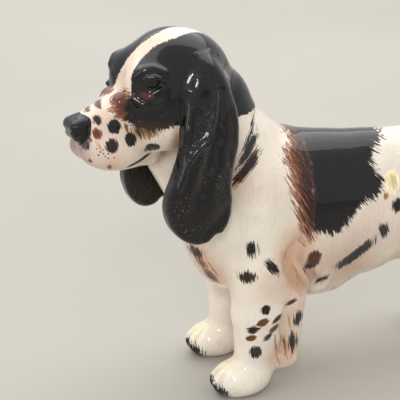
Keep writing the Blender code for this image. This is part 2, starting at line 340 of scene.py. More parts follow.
def sculpt_nose(clay):
    clay.add(block((-74.3, 0, 102), (3.5, 4.9, 3.7), 2.4, tilt=-14, home=HEAD), 1.2)
    for side in BOTH:
        nostril = [(-78.4, 2.4, 101.2), (-77.2, 3.6, 101.5), (-75.4, 5, 100.6)]
        clay.cut(head_cord(nostril, (0.5, 0.8, 0.4), side), 0.5)
        wing = [(-74.6, 5.2, 98.6), (-73.2, 5.4, 100.5), (-72.6, 5, 103.5)]
        clay.cut(head_cord(wing, 0.55, side), 0.6)
    clay.cut(cord([(-79.5, 0, 101), (-78.6, 0, 98.5), (-76.9, 0, 94.5)], 0.5, HEAD), 0.7)


def sculpt_mouth(clay):
    line = [(-51.8, 8.4, 91.9), (-55, 8.6, 90.3), (-59.5, 8.4, 88.6), (-63.5, 7.4, 87)]
    for side in BOTH:
        clay.cut(head_cord(line, (0.4, 0.6, 0.6, 0.5), side), 0.5)
        crease = [(-53.6, 13.4, 105.6), (-51.2, 14.2, 106.6), (-48.8, 14.6, 107.6)]
        clay.cut(head_cord(crease, (0.3, 0.6, 0.3), side), 0.4)
        bump = head_ball((-61.2, 4.2, 108.4), (3, 2.8, 3.8), side)
        clay.add(bump, 2)  # under the inner corner of the eye


def sculpt_eye(clay, side):
    clay.add(head_ball((-49.6, 5.2, 117), (6.2, 5.2, 5.8), side), 5)
    clay.add(head_ball((-52.8, 8.4, 119), (4, 2.8, 2.5), side), 3)
    clay.cut(head_ball((-53.6, 14, 117.2), (3.4, 2.2, 2), side), 2)
    clay.add(head_ball((-53.2, 10.9, 117.2), (2.6, 2.4, 2.3), side), 0.3)
    upper = [(-56.6, 10.6, 117.2), (-55.2, 12.3, 118.8), (-53.2, 13, 119)]
    upper += [(-51.2, 13.3, 118.2), (-49.6, 13.4, 116.8)]
    clay.add(head_cord(upper, (0.3, 0.7, 0.9, 0.7, 0.3), side), 0.8)
    fold = [(-58, 8.8, 118.6), (-56, 10.2, 120.8), (-53, 11.3, 121.4), (-49.4, 12.7, 120)]
    clay.add(head_cord(fold, (0.4, 0.6, 0.6, 0.3), side), 2.4)
    lower = [(-57.2, 10.2, 116), (-56.8, 11.2, 113.8), (-55, 12.3, 112.4), (-51.4, 13.4, 114.8)]
    clay.add(head_cord(lower, (0.3, 0.6, 0.8, 0.4), side), 1.2)
    pouch = [(-59.2, 9.4, 112), (-57, 11.4, 110), (-52, 13.2, 110.2)]
    clay.add(head_cord(pouch, (0.3, 0.5, 0.3), side), 2.6)


def sculpt_foreleg(clay, side, step):
    y = FORE_STANCE * side
    clay.add(limb((-12 + step, y * 0.9, 46), (-14 + step, y, 30), (8, 6.6), (11, 8.5)), 5)
    clay.add(limb((-14 + step, y, 30), (-15 + step, y, 9), (6.4, 5.8), (8, 6.5)), 3)
    clay.add(ball((FOREPAW_X + step, y * 1.01, PAW_Z), (11.2, 8.1, 6.8)), 3)
    clay.add(limb((-3 + step, y * 0.9, 44), (-3.5 + step, y, 10), (5.5, 3.5), (9.5, 5.5)), 4)


def sculpt_hindleg(clay, side):
    y = HIND_STANCE * side
    clay.add(ball((58, 10.5 * side, 54), (14, 8.5, 21), tilt=14), 6)  # thigh
    clay.add(limb((58, 12.6 * side, 42), (77, y, 24), (8, 5.5), (10, 6)), 5)
    clay.add(limb((77, y, 24), (75, y, 8), (5, 5.2), (5.5, 5.5)), 3)
    clay.add(ball((HINDPAW_X, y, PAW_Z), (11, 7.3, 6.6)), 3)


def sculpt_toes(clay, x, y, length):
    """Three clefts between the toes, over the front of a paw."""
    for out in (-4.2, 0, 4.2):
        near = length * math.sqrt(1 - (out / 8.6) ** 2)
        path = [(x - near * 0.62, y + out * 0.85, 11.2), (x - near * 0.9, y + out, 8.2)]
        path += [(x - near * 1, y + out * 1.08, 4.8), (x - near * 0.97, y + out * 1.1, 1)]
        clay.cut(cord(path, (0.35, 0.65, 0.8, 0.7)), 1.4)


def stepped(points, side, step):
    """Points of the right side, moved to either side and back by the leg's step."""
    return [(x + step, y * side, z) for x, y, z in points]


def sculpt_fringes(clay):
    """The long hair behind the forelegs and along the belly, as tufts with grooves between."""
    for side, step in ((LEFT, 0), (RIGHT, FAR_STEP)):
        y = FORE_STANCE * side
        clay.add(ball((9, 10.5 * side, 42), (7.5, 4.5, 11), tilt=-12), 2)  # behind the elbow
        clay.add(ball((4.0 + step, 14.5 * side, 44), (5.5, 4.6, 7.5), tilt=-20), 2.5)  # loose skin
        fold = [(-1, 20.4, 57), (-4.6, 20.9, 52), (-4, 20.6, 47), (-0.6, 19.8, 41), (3, 18, 36)]
        clay.cut(cord(stepped(fold, side, step), (0.2, 1.2, 1.5, 1.5, 0.8)), 2.6)
        fold = [(1, 19.4, 49), (4.6, 18.4, 44), (7.4, 16.2, 39), (12, 13.8, 36.5)]
        clay.cut(cord(stepped(fold, side, step), (0.2, 1, 1.1, 0.4)), 2.6)
        for i in range(4):
            x = 3.4 - i * 2.7 + step
            groove = [(x + 0.8, y * 1.3, 34), (x - 0.7, y * 1.26, 27), (x + 0.4, y * 1.22, 20)]
            groove += [(x - 1.4, y * 1.17, 11 + i)]
            clay.cut(cord(groove, (0.2, 0.8, 0.8, 0.4)), 1.8)
    for i in range(9):
        x = -3 + i * 6.0
        for side in BOTH:
            groove = [(x, 9.5 * side, 46), (x + 3, 8.0 * side, 36), (x + 5, 5.0 * side, 28.5)]
            clay.cut(cord(groove, (0.2, 0.5, 0.4)), 1.6)


def sculpt_dog(clay):
    """Every mass but the ears. A mass outside this block of clay is skipped."""
    sculpt_trunk(clay)
    sculpt_neck(clay)
    sculpt_skull(clay)
    sculpt_nose(clay)
    sculpt_mouth(clay)
    for side, step in ((LEFT, 0), (RIGHT, FAR_STEP)):
        sculpt_eye(clay, side)
        sculpt_foreleg(clay, side, step)
        sculpt_hindleg(clay, side)
        sculpt_toes(clay, FOREPAW_X + step, FORE_STANCE * side, 11)
        sculpt_toes(clay, HINDPAW_X, HIND_STANCE * side, 10.8)
    clay.add(limb((72, 0, 77), (86, 0, 82), (5.5, 3.6), (5.5, 3.6)), 4)  # tail
    sculpt_fringes(clay)
    _, _, z = clay.points_in(BODY)
    clay.field = np.maximum(clay.field, -z)


# ---- ears ----

# Outline of the left ear seen from the side, in the head's frame: (x, z), from the root's front
EAR_OUTLINE = [
    (-38.5, 118.5), (-42.5, 111), (-45.2, 102), (-46.4, 94), (-49.2, 86), (-51.4, 80), (-52.1, 74.5),
    (-50.6, 68.8), (-47.0, 64.4), (-42.6, 62.3), (-38.3, 62.6), (-35.6, 64.5), (-32.6, 65.0),
    (-29.6, 69.2), (-28.4, 75), (-28.8, 80.5), (-27.8, 87), (-25.6, 93), (-24.6, 100), (-25.0, 105.5),
    (-27.0, 112), (-30.0, 118), (-34.0, 121.5),
]
EAR_HEIGHTS = (62, 74, 86, 96, 106, 116, 122)
EAR_OUT = (19.4, 19.0, 18.6, 17.7, 16.1, 13.7, 11.6)  # middle of the leaf from the centre plane
EAR_HALF = 3.3  # half thickness
EAR_ROUNDING = 2.4  # of its edge
FAR_EAR_TRIM = 1.4  # the right ear hangs this much further back at its front edge
EAR_FOLDS = (  # height, half width and side view of each fold
    (1.0, 1.1, [(-34, 112), (-35.8, 104), (-38.6, 98.4), (-42.6, 95.2), (-46.2, 90), (-48.8, 83)]),
    (0.55, 0.8, [(-44.6, 102), (-45.8, 95), (-48.6, 87), (-50.9, 80), (-51.0, 73)]),
    (0.5, 1.6, [(-38.8, 98), (-41.5, 91), (-44.4, 84), (-46.6, 76)]),
    (0.5, 2.4, [(-30.5, 108), (-31.4, 99), (-33.2, 90), (-36.5, 82), (-38.0, 74)]),
    (-0.9, 1.5, [(-41.5, 106), (-42.6, 101), (-43.6, 97)]),
    (-0.6, 2.0, [(-36.0, 97), (-38.6, 89), (-41.0, 81)]),
    (-0.5, 2.2, [(-31.0, 74), (-34.6, 70), (-40.0, 67)]),
)


def smooth_loop(points, steps=4):
    """More points on a smooth closed curve through the given ones."""
    points = np.array(points, float)
    before, after, later = (np.roll(points, n, axis=0) for n in (1, -1, -2))
    found = []
    for i in range(steps):
        t = i / steps
        pull = -0.5 * t + t**2 - 0.5 * t**3, 1 - 2.5 * t**2 + 1.5 * t**3
        lead = 0.5 * t + 2 * t**2 - 1.5 * t**3, -0.5 * t**2 + 0.5 * t**3
        found.append(pull[0] * before + pull[1] * points + lead[0] * after + lead[1] * later)
    return np.stack(found, 1).reshape(-1, 2)


def loop_gap(x, z, loop):
    """Distance from (x, z) to a closed outline, negative inside."""
    nearest = np.full(np.broadcast(x, z).shape, np.inf, np.float32)
    inside = np.zeros(nearest.shape, bool)
    for start, end in zip(loop, np.roll(loop, -1, axis=0)):
        step = end - start
        nearest = np.minimum(nearest, run_share_and_gap((x, z), start, end)[1])
        if start[1] != end[1]:
            level = (z >= min(start[1], end[1])) & (z < max(start[1], end[1]))
            crossing = start[0] + (z - start[1]) * step[0] / step[1]
            inside ^= level & (x < crossing)
    return np.sqrt(nearest) * np.where(inside, -1.0, 1.0)


def line_gap(x, z, points):
    """Distance from (x, z) to an open line."""
    points = np.array(points, float)
    nearest = np.inf
    for start, end in zip(points, points[1:]):
        nearest = np.minimum(nearest, run_share_and_gap((x, z), start, end)[1])
    return np.sqrt(nearest)


def ear_relief(x, z):
    """How far the folds and the wavy hair raise the outside of an ear."""
    relief = 0.0
    for height, width, path in EAR_FOLDS:
        relief = relief + height * np.exp(-((line_gap(x, z, path) / width) ** 2))
    wave = x + 0.42 * z + 1.6 * np.sin(z / 5.5)
    fade = np.clip((108 - z) / 14, 0, 1)
    relief = relief + fade * (0.05 * np.sin(wave * 1.7) + 0.03 * np.sin(wave * 5.3 + z / 3.1))
    return relief


def ear_leaf(clay, side):
    """The window of the clay that holds an ear, and the ear's distances in it."""
    window = clay.window((-38, 17 * side, 92), 32)
    x, y, z = clay.points(window)
    trim = FAR_EAR_TRIM * np.clip((100 - z) / 30, 0, 1) if side == RIGHT else 0.0
    side_view = loop_gap(x - trim * np.clip((-36 - x) / 12, 0, 1), z, smooth_loop(EAR_OUTLINE))
    out = np.interp(z, EAR_HEIGHTS, EAR_OUT)
    bend = 0.011 * (x + 37.0) ** 2  # both edges curl in towards the neck
    from_middle = y * side - out + bend
    thickness = np.where(from_middle > 0, EAR_HALF + ear_relief(x, z), EAR_HALF)
    through = np.abs(from_middle) - thickness
    leaf = rounded_gap((side_view + EAR_ROUNDING, through + EAR_ROUNDING), EAR_ROUNDING)
    return window, leaf.astype(np.float32)


# ---- seams between the pieces ----


def head_region(points):
    x, _, z = points
    return 0.75 * (x + 48.0) - 0.66 * (z - 84.0)


def foreleg_region(points, side):
    x, y, z = points
    lean = math.radians(3.2)
    inner = (7.0 - y * side) * math.cos(lean) + z * math.sin(lean)
    return np.maximum(np.maximum(inner, z - 34.0), np.maximum(x - 8.5, -39.5 - x))


def hindleg_region(points, side):
    x, y, z = points
    slope = math.radians(22.0)
    ahead = (x - 42.0) * math.cos(slope) + (z - 35.0) * math.sin(slope)
    above = (z - 35.0) * math.cos(slope) - (x - 42.0) * math.sin(slope)
    return np.maximum(np.maximum(above, -6.0 - ahead), 3.0 - y * side)


def tail_region(points):
    x, _, z = points
    return np.maximum(76.0 - x, 72.0 - z)


LIMB_REGIONS = {"tail": tail_region}
for side, word in SIDES:
    LIMB_REGIONS[f"foreleg_{word}"] = lambda points, side=side: foreleg_region(points, side)
    LIMB_REGIONS[f"hindleg_{word}"] = lambda points, side=side: hindleg_region(points, side)


def luted(field, region):
    """The clay inside a region, with a thin tongue that runs on under the next piece."""
    piece = np.maximum(field, region)
    return np.minimum(piece, np.maximum(field + TONGUE_INSET, region - TONGUE))


def torso_field(clay):
    points = clay.points_in(BODY)
    field = np.maximum(clay.field, -head_region(points))
    for region in LIMB_REGIONS.values():
        field = np.maximum(field, -region(points))
    vent = np.sqrt((points[0] - 30.0) ** 2 + points[1] ** 2) - 2.0
    return cut_out(field, np.maximum(vent, points[2] - 45.0), 0.8)


# ---- paint ----


def srgb(red, green, blue):
    """A colour given 0 to 255, as the linear values that Blender works in."""
    share = np.array([red, green, blue]) / 255.0
    return np.where(share <= 0.04045, share / 12.92, ((share + 0.055) / 1.055) ** 2.4)


CREAM = srgb(243, 232, 216)
PEACH = srgb(216, 172, 142)
AMBER = srgb(196, 138, 98)
YELLOW = srgb(238, 224, 178)
PINK = srgb(228, 194, 180)
NOSE_SHADE_MAUVE = srgb(140, 98, 98)
BELLY_SHADE_GREY = srgb(186, 166, 150)
INKS = {
    "tan": srgb(158, 114, 76),
    "olive": srgb(112, 84, 52),
    "straw": srgb(226, 208, 164),
    "rust": srgb(104, 58, 40),
    "brown": srgb(84, 46, 36),
    "umber": srgb(42, 21, 17),
    "slate": srgb(44, 42, 40),
    "black": srgb(15, 13, 13),
    "eye": srgb(12, 8, 7),
    "haw": srgb(86, 38, 34),
}
DARK = ("umber", "slate", "black")  # these inks go on last, over the others
UNDER, OVER = "under", "over"
DOWN_BACK = (0.5, 0.0, -0.85)  # the way most hair lies
LONGEST_GAP = 8.0  # mm, distances to paint are kept up to this


def flow(points, along, about=None):
    """Coordinates across and along the hair: it runs in one direction, or out from a point."""
    x, y, z = points.T
    if about is not None:
        dx, dz = x - about[0], z - about[1]
        return np.stack([np.arctan2(dx, -dz) * about[2], y, np.hypot(dx, dz)], 1)
    dx, dz = np.array([along[0], along[2]]) / math.hypot(along[0], along[2])
    return np.stack([x * dz - z * dx, y, x * dx + z * dz], 1)


def area(mass, ink, feather, along=DOWN_BACK, about=None):
    """Paint on everything inside a mass."""
    distance, _, _, home = mass

    def mark(points):
        return distance(points.T), flow(points, along, about)

    return OVER if ink in DARK else UNDER, home, mark, ink, feather


def outline(points, home=BODY):
    """A mass with this outline in side view, right through the dog."""
    loop = smooth_loop(points)
    return lambda place: loop_gap(place[0], place[2], loop), None, None, home


def dab(clays, centre, length, width, ink, along=DOWN_BACK, hair=None, feather=0.5, home=BODY):
    """A brush mark with this half length and half width, laid on the surface."""
    clay = clays[home]
    centre = np.array([centre], float)
    for _ in range(2):
        outwards = clay.slope(centre)
        centre = centre - clay.sample(centre)[:, None] * outwards
    normal = outwards[0]

    def on_surface(way):
        way = np.array(way, float)
        way = way - normal * way.dot(normal)
        return way / np.linalg.norm(way)

    run = on_surface(along)
    aside = np.cross(normal, run)
    grain = on_surface(hair or along)
    across = np.cross(normal, grain)

    length, width = length * 1.1 + 0.1, width * 1.1 + 0.15
    squareness = 2.0 if length < 2.5 * width else 3.0

    def mark(points):
        offset = points - centre
        reach = np.abs(offset @ run / length) ** squareness
        gap = (reach + np.abs(offset @ aside / width) ** squareness) ** (1 / squareness) - 1
        gap = np.maximum(gap * min(length, width), np.abs(offset @ normal) - 5.0)
        place = np.stack([offset @ across, offset @ normal, offset @ grain], 1)
        return gap, place + centre

    return OVER if ink in DARK else UNDER, home, mark, ink, feather


def stroke(clays, start, end, width, ink, hair=None, feather=0.5, home=BODY):
    """A long brush mark from one point to another."""
    start, end = np.array(start, float), np.array(end, float)
    half = np.linalg.norm(end - start) / 2
    return dab(clays, (start + end) / 2, half, width, ink, end - start, hair, feather, home)


# The saddle and the band of rust hair before it, in side view
SADDLE = [
    (3, 97), (4.6, 89), (4.6, 80), (5, 70), (4.4, 60.5), (8.5, 58.6), (12, 57), (16, 58.2),
    (21, 63.2), (25, 66.5), (30.5, 68.2), (32.6, 73), (29.8, 79.5), (34, 84.5), (39, 88), (40, 97),
]
RUST_BAND = [
    (0, 97), (-0.6, 91), (-3.4, 86.5), (-3.6, 80), (-2.6, 73), (-1.4, 66), (0.2, 60), (2.2, 56),
    (5, 57.5), (8, 63), (8, 80), (9, 97),
]
BROWN_EDGE = [
    (3, 96), (2, 88), (1.2, 80), (1.4, 72), (1.8, 66), (2.8, 61), (5.6, 62), (6.4, 70),
    (6.2, 80), (6.4, 88), (7, 96),
]
# Where the hair of a patch runs out from: x, z and about how far away its edge is
SADDLE_CROWN = (-2.0, 104.0, 30.0)
CHEEK_CROWN = (-44.0, 114.0, 15.0)
RUMP_PATCH = [(64, 92), (60, 80), (61, 70), (66, 62), (72, 66), (76, 74), (86, 78), (92, 92)]
FACE_MASK = [
    (-60.2, 121), (-60.4, 116), (-60.3, 111), (-61.3, 107.6), (-62.0, 105.2), (-59.0, 104.2),
    (-56.5, 103.2), (-54.0, 102.5), (-50.0, 102.3), (-45.5, 102.2), (-38, 99), (-30, 99),
    (-22, 101), (-12, 102), (-6, 110), (-8, 132), (-40, 140), (-62, 130),
]
BLAZE_X = (-62, -60, -57.5, -54, -50, -46, -42, -38, -34, -29, -24, -20)
BLAZE_LEFT = (-9.2, -8.6, -7.6, -6.4, -5.8, -6.4, -6.5, -5.2, -3.6, -1.6, 0.6, 4.0)
BLAZE_RIGHT = (4.2, 2.6, 0.7, -0.7, -1.8, -1.7, -0.8, 0.2, 1.0, 1.4, 0.6, -3.0)


def face_mask():
    """The black of the head, on both sides of the white blaze."""
    loop = smooth_loop(FACE_MASK)

    def distance(points):
        x, y, z = points
        ahead = 3.2 * np.clip(y / 4.0, 0, 1)  # it comes further forward over the right brow
        left = np.interp(x, BLAZE_X, BLAZE_LEFT)
        right = np.interp(x, BLAZE_X, BLAZE_RIGHT)
        blaze = np.maximum(left - y, y - right)
        return np.maximum(loop_gap(x + ahead, z, loop), -blaze)

    return distance, None, None, HEAD


DOWN = (0.1, 0.0, -1.0)
LEVEL = (1.0, 0.0, 0.3)
CHEEK_HAIR = (0.35, 0.0, -1.0)

MUZZLE_SPOTS = (  # centre on the left side, half length, half width, ink
    ((-67.3, -0.9, 109.1), 1.7, 1, "brown"),
    ((-71.1, -0.7, 107.6), 1, 0.8, "brown"),
    ((-70.5, -6.5, 101.2), 1.7, 1.3, "rust"),
    ((-69.7, -5, 105.3), 1.5, 1.1, "slate"),
    ((-64.7, -7, 102.8), 2.1, 1.9, "black"),
    ((-59.7, -8.1, 97.9), 2, 1.7, "black"),
    ((-66.3, -8.4, 97.1), 2.1, 1.9, "umber"),
    ((-52.6, -9.8, 94.6), 1.9, 2.2, "black"),
    ((-73.2, -6.4, 92.6), 0.7, 0.6, "brown"),
    ((-67.1, -7.5, 89.8), 1, 0.6, "rust"),
    ((-73.9, -5.2, 97.6), 1.3, 1.1, "slate"),
    ((-72.6, -5.8, 99.4), 0.8, 0.5, "rust"),
    ((-64.4, -3.2, 111.4), 1.2, 0.6, "tan"),
    ((-61, -8.6, 102), 1.4, 0.5, "olive"),
    ((-57.4, -9, 100.6), 1.6, 0.5, "umber"),
    ((-70.2, -7.4, 96.8), 1.6, 0.3, "tan"),
)
WHISKER_DOTS = (
    (-71.4, -7.5, 96.7), (-69.3, -8.2, 96.2), (-70.3, -8.0, 95.6), (-69.2, -8.3, 94.9),
    (-67.8, -8.6, 94.7), (-68.8, -8.4, 93.9), (-70.9, -7.9, 94.6), (-67.8, -8.6, 93.2),
    (-65.8, -8.8, 93.2),
)
BODY_SPOTS = (  # centre on the left side, half length, half width, ink, direction, feather
    ((-17, -18.8, 55.4), 2.3, 1.5, "black", DOWN, 1.2),
    ((-10.7, -21.6, 49.3), 3.2, 1.3, "black", (0.6, 0, -0.8), 0.9),
    ((-19.1, -20.1, 46.2), 1.9, 2.7, "umber", DOWN, 1.1),
    ((5.8, -16.6, 48.4), 2.8, 2.5, "brown", DOWN, 0.5),
    ((4.6, -16.6, 46.4), 1.2, 1.5, "slate", DOWN, 0.8),
    ((11.5, -13, 38.8), 2.2, 1.1, "slate", LEVEL, 0.8),
    ((33.1, -17, 55.1), 2.6, 1.5, "slate", (-0.4, 0, 1), 1),
    ((36.5, -14.5, 71.7), 3.4, 2.4, "straw", DOWN, 1.2),
    ((33.8, -15.8, 67.3), 1.1, 0.8, "tan", DOWN, 0.4),
    ((38.8, -15.6, 63.2), 2.2, 2.8, "black", DOWN, 1.2),
    ((-33.3, -7, 52), 2.3, 2.9, "umber", DOWN, 1.4),
    ((-31.8, -8, 47.5), 2.6, 1.6, "rust", (0.5, 0, -0.9), 1.4),
    ((-28.3, -8.1, 42.3), 3.6, 1.8, "brown", (0.6, 0, -0.8), 1.4),
    ((-12.9, -22.3, 33.8), 1.6, 1.5, "black", DOWN, 0.4),
    ((-7.9, -21.2, 29), 2.1, 0.9, "slate", LEVEL, 0.4),
    ((-17.3, -21.8, 26.6), 1.9, 1.3, "black", LEVEL, 0.8),
    ((-15.9, -21.4, 17.7), 2.1, 1.9, "slate", DOWN, 0.7),
    ((-14, -22.7, 29.2), 2.1, 1.2, "rust", LEVEL, 0.3),
    ((-9.2, -20.9, 25.3), 2.1, 1.2, "rust", LEVEL, 0.5),
    ((-17.7, -21, 23.2), 1.7, 1, "rust", LEVEL, 0.3),
    ((-2, -20.2, 33.7), 2.2, 0.8, "brown", LEVEL, 0.4),
    ((-11.5, -21.3, 22.7), 1.7, 0.9, "slate", LEVEL, 0.6),
    ((1.2, -19.2, 26.3), 2.6, 1.8, "slate", DOWN, 1.2),
    ((-0.1, -18.9, 17.3), 3.2, 1.3, "slate", DOWN, 1.2),
    ((49, -16.8, 70), 2.6, 2, "black", DOWN_BACK, 1.2),
    ((55, -19, 58), 3.2, 2.2, "umber", DOWN_BACK, 1.2),
    ((47, -17, 50), 2.2, 1.4, "slate", DOWN_BACK, 0.9),
    ((62, -18.6, 49), 2, 1.5, "rust", DOWN_BACK, 0.6),
    ((67, -17.4, 40), 2, 1.4, "black", DOWN_BACK, 0.6),
    ((61, -18, 39), 1.5, 1, "rust", DOWN_BACK, 0.4),
    ((76, -19, 26), 1.5, 1.3, "black", DOWN, 0.5),
    ((74, -19, 19), 1.6, 1, "rust", DOWN, 0.4),
    ((77, -19, 14), 1.7, 1.2, "slate", DOWN, 0.6),
)
NECK_STROKES = (  # start, end, half width, ink
    ((-13.8, -10.5, 99), (-19.4, -14.9, 89.4), 0.5, "slate"),
    ((-14.2, -13.2, 94), (-21, -15.2, 84.6), 0.9, "slate"),
    ((-14, -15.1, 89), (-21.6, -15.4, 79.4), 1.3, "umber"),
    ((-16.6, -14.5, 87), (-23, -15.4, 76.5), 0.4, "tan"),
)
CURLS = (  # thin lines in the long hair of the forelegs and the chest
    ((-8.4, -19.8, 21), (-7, -19.6, 15.5), "brown"),
    ((-6.2, -19.8, 24), (-4.2, -19.4, 17), "tan"),
    ((-4.2, -19.8, 20), (-3.4, -19.2, 12.5), "brown"),
    ((-3.4, -19.8, 31), (-2, -19.2, 24), "tan"),
    ((-7.4, -19.4, 13.8), (-5.8, -19, 10.2), "tan"),
    ((-3.8, -20, 55), (-5.6, -20.4, 49.5), "tan"),
    ((-2.4, -20, 47), (0.4, -19.4, 41), "tan"),
    ((4, -18.4, 43), (8, -16.4, 38.4), "tan"),
    ((-33, -9, 48.5), (-29.6, -10, 41.5), "brown"),
    ((-30.5, -11, 49), (-27, -11.5, 43), "tan"),
)
FAR_DRIFT = (2.2, 0.0, -1.6)  # the right side's marks don't mirror the left side's exactly


def head_marks(clays):
    yield area(face_mask(), "black", 0.4, about=CHEEK_CROWN)
    nose = block((-74.6, 0, 101.9), (4.2, 5.6, 4.4), 2.4, tilt=-14, home=HEAD)
    yield area(nose, "black", 0.05)
    for side in BOTH:
        drift = np.array(FAR_DRIFT) * 0.5 if side == RIGHT else 0.0
        for centre, length, width, ink in MUZZLE_SPOTS:
            centre = placed(centre, side) + drift
            yield dab(clays, centre, length, width, ink, CHEEK_HAIR, home=HEAD)
        for centre in WHISKER_DOTS:
            dot = placed(centre, side)
            yield dab(clays, dot, 0.18, 0.12, "umber", feather=0.1, home=HEAD)
        patch = head_ball((-61.4, 5.6, 109.6), (3.6, 4.4, 6.4), side, -12)
        yield area(patch, "rust", 1.4, (1.0, 0.0, 0.5))
        tufts = head_ball((-58.4, 9.6, 107.4), (3.4, 5, 4.8), side)
        yield area(tufts, "black", 1.9, about=CHEEK_CROWN)
        fringe = head_ball((-55.2, 11, 101.2), (7, 4, 3), side, -10)
        yield area(fringe, "olive", 2.0, CHEEK_HAIR)
        under_mask = head_ball((-53.5, 12, 103.4), (8.4, 5, 2.4), side)
        yield area(under_mask, "umber", 1.4, CHEEK_HAIR)
        corner, front = (-52.6, 7.3 * side, 91.5), (-60.4, 7.5 * side, 88.4)
        yield stroke(clays, corner, front, 0.5, "black", feather=0.1, home=HEAD)
    philtrum = cord([(-79, 0, 100), (-78, 0, 97.6), (-76.6, -0.4, 95.4)], (1.8, 1.2, 0.4), HEAD)
    yield area(philtrum, "slate", 0.4, DOWN)


def body_marks(clays):
    yield area(outline(RUST_BAND), "rust", 3.0, (0.5, 0.0, -0.87))
    yield area(outline(SADDLE), "black", 2.0, about=SADDLE_CROWN)
    yield area(outline(BROWN_EDGE), "umber", 3.4, (0.5, 0.0, -0.87))
    yield area(outline(RUMP_PATCH), "black", 1.8, (0.8, 0.0, -0.6))
    for side in BOTH:
        drift = np.array(FAR_DRIFT) if side == RIGHT else 0.0
        for centre, length, width, ink, along, feather in BODY_SPOTS:
            centre = placed(centre, side) + drift
            yield dab(clays, centre, length, width, ink, along, feather=feather)
        for start, end, width, ink in NECK_STROKES:
            ends = placed(start, side), placed(end, side)
            yield stroke(clays, *ends, width, ink, feather=0.6)
        streak = (17.0, 14.4 * side, 42.6), (28.6, 17.0 * side, 51.6)
        yield stroke(clays, *streak, 1.9, "slate", hair=DOWN, feather=0.9)
        for start, end, ink in CURLS:
            ends = placed(start, side), placed(end, side)
            yield stroke(clays, *ends, 0.22, ink, feather=0.3)
        for x, y in ((FOREPAW_X, FORE_STANCE), (HINDPAW_X, HIND_STANCE)):
            x = x + FAR_STEP if side == RIGHT and x < 0 else x
            toes = ball((x - 11.0, y * side, 1.2), (6.2, 8.6, 5.2), tilt=-12)
            yield area(toes, "black", 2.2, DOWN)


# Airbrushed tints, mostly the figure's own warm paint. The peach around the elbows is partly painted
# shade in their folds, and two colours are painted shade only, marked below.
TINTS_AND_SHADE = (  # centre on the left side, radius, colour, strength, frame
    ((-1, -19, 58), 6, AMBER, 0.5, BODY),
    ((-3.5, -19, 50), 5, AMBER, 0.65, BODY),
    ((2.5, -17, 42), 6, AMBER, 0.6, BODY),
    ((-31, -8, 51), 5, AMBER, 0.55, BODY),
    ((-27, -9, 43), 5, AMBER, 0.55, BODY),
    ((-2, -19, 15), 6, AMBER, 0.5, BODY),
    ((0, -18, 28), 5, AMBER, 0.3, BODY),
    ((20, -16, 44), 9, PEACH, 0.5, BODY),
    # Painted shade: greyer and darker towards the belly.
    ((22, -16, 50), 13, BELLY_SHADE_GREY, 0.5, BODY),
    ((-50, -2, 127), 9, PEACH, 0.45, HEAD),
    ((-58, -2, 117), 6, PEACH, 0.35, HEAD),
    ((0, -19, 51), 8, PEACH, 0.8, BODY),
    ((-1, -18, 41), 8, PEACH, 0.6, BODY),
    ((-12, -20, 42), 7, PEACH, 0.35, BODY),
    ((12, -15, 47), 9, PINK, 0.5, BODY),
    ((24, -14, 38), 9, PEACH, 0.45, BODY),
    ((30, -16, 56), 10, PINK, 0.4, BODY),
    ((-28, -8, 46), 8, PEACH, 0.5, BODY),
    ((-33, -6, 60), 7, PEACH, 0.3, BODY),
    ((-22, -15, 80), 8, PEACH, 0.45, BODY),
    ((-6, -16, 74), 7, PEACH, 0.25, BODY),
    ((-5, -18, 14), 7, PEACH, 0.7, BODY),
    ((0, -16, 30), 7, PINK, 0.5, BODY),
    ((-25, -15, 11), 4, YELLOW, 0.7, BODY),
    ((66, -14, 11), 4, YELLOW, 0.6, BODY),
    ((52, -15, 44), 10, PEACH, 0.5, BODY),
    ((70, -10, 62), 9, PINK, 0.4, BODY),
    ((-66, -4, 97), 9, PINK, 0.55, HEAD),
    ((-68, -5, 106), 6, PEACH, 0.5, HEAD),
    ((-66, -7, 90), 5, PEACH, 0.6, HEAD),
    # Painted shade under the nose and on the front of the lips.
    ((-76, -3, 96.5), 4.4, NOSE_SHADE_MAUVE, 0.85, HEAD),
    ((-74, -4, 92), 4, NOSE_SHADE_MAUVE, 0.35, HEAD),
    ((-56, -9, 97), 6, PEACH, 0.3, HEAD),
)


def airbrushed_and_shaded(points, cavity):
    """The cream body colour of each vertex, with airbrushed tints and painted shade: darker and
    warmer in hollows.
    """
    colour = np.tile(CREAM, (len(cavity), 1))
    for centre, radius, tint, strength, home in TINTS_AND_SHADE:
        for side in BOTH:
            away = np.linalg.norm(points[home] - placed(centre, side), axis=1)
            share = strength * np.exp(-((away / radius) ** 2))[:, None]
            colour = colour * (1 - share) + tint * share
    # Painted shade: the hollows turn darker and warmer.
    share = 0.95 * np.clip(cavity, 0, 1)[:, None]
    return colour * (1 - share) + PEACH * 0.8 * share


def painted_layer(marks, layer, points):
    """For each vertex the nearest mark of a layer: gap, feather, ink and hair coordinates."""
    count = len(points[BODY])
    gap = np.full(count, LONGEST_GAP)
    feather, ink, grain = np.ones(count), np.zeros((count, 3)), points[BODY].copy()
    for of_layer, home, mark, colour, softness in marks:
        if of_layer != layer:
            continue
        distance, place = mark(points[home])
        nearer = distance < gap
        gap[nearer] = distance[nearer]
        feather[nearer] = softness
        ink[nearer] = INKS[colour]
        grain[nearer] = place[nearer]
    return gap, feather, ink, grain


def recoloured(ink, points):
    """The near-black eyes and the red of their lower lids, within the mask."""
    for side in BOTH:
        for centre, radii, name in (
            ((-53.0, 12.4, 117.3), (2.6, 2.4, 2.1), "eye"),
            ((-56.4, 11.2, 113.4), (1.2, 2.4, 1.0), "haw"),
            ((-55.0, 12.2, 112.8), (1.8, 2.4, 0.8), "haw"),
        ):
            gap = head_ball(centre, radii, side)[0](points[HEAD].T)
            share = np.clip(0.5 - gap / 0.5, 0, 1)[:, None]
            ink[:] = ink * (1 - share) + INKS[name] * share
    return ink


# ---- pieces ----


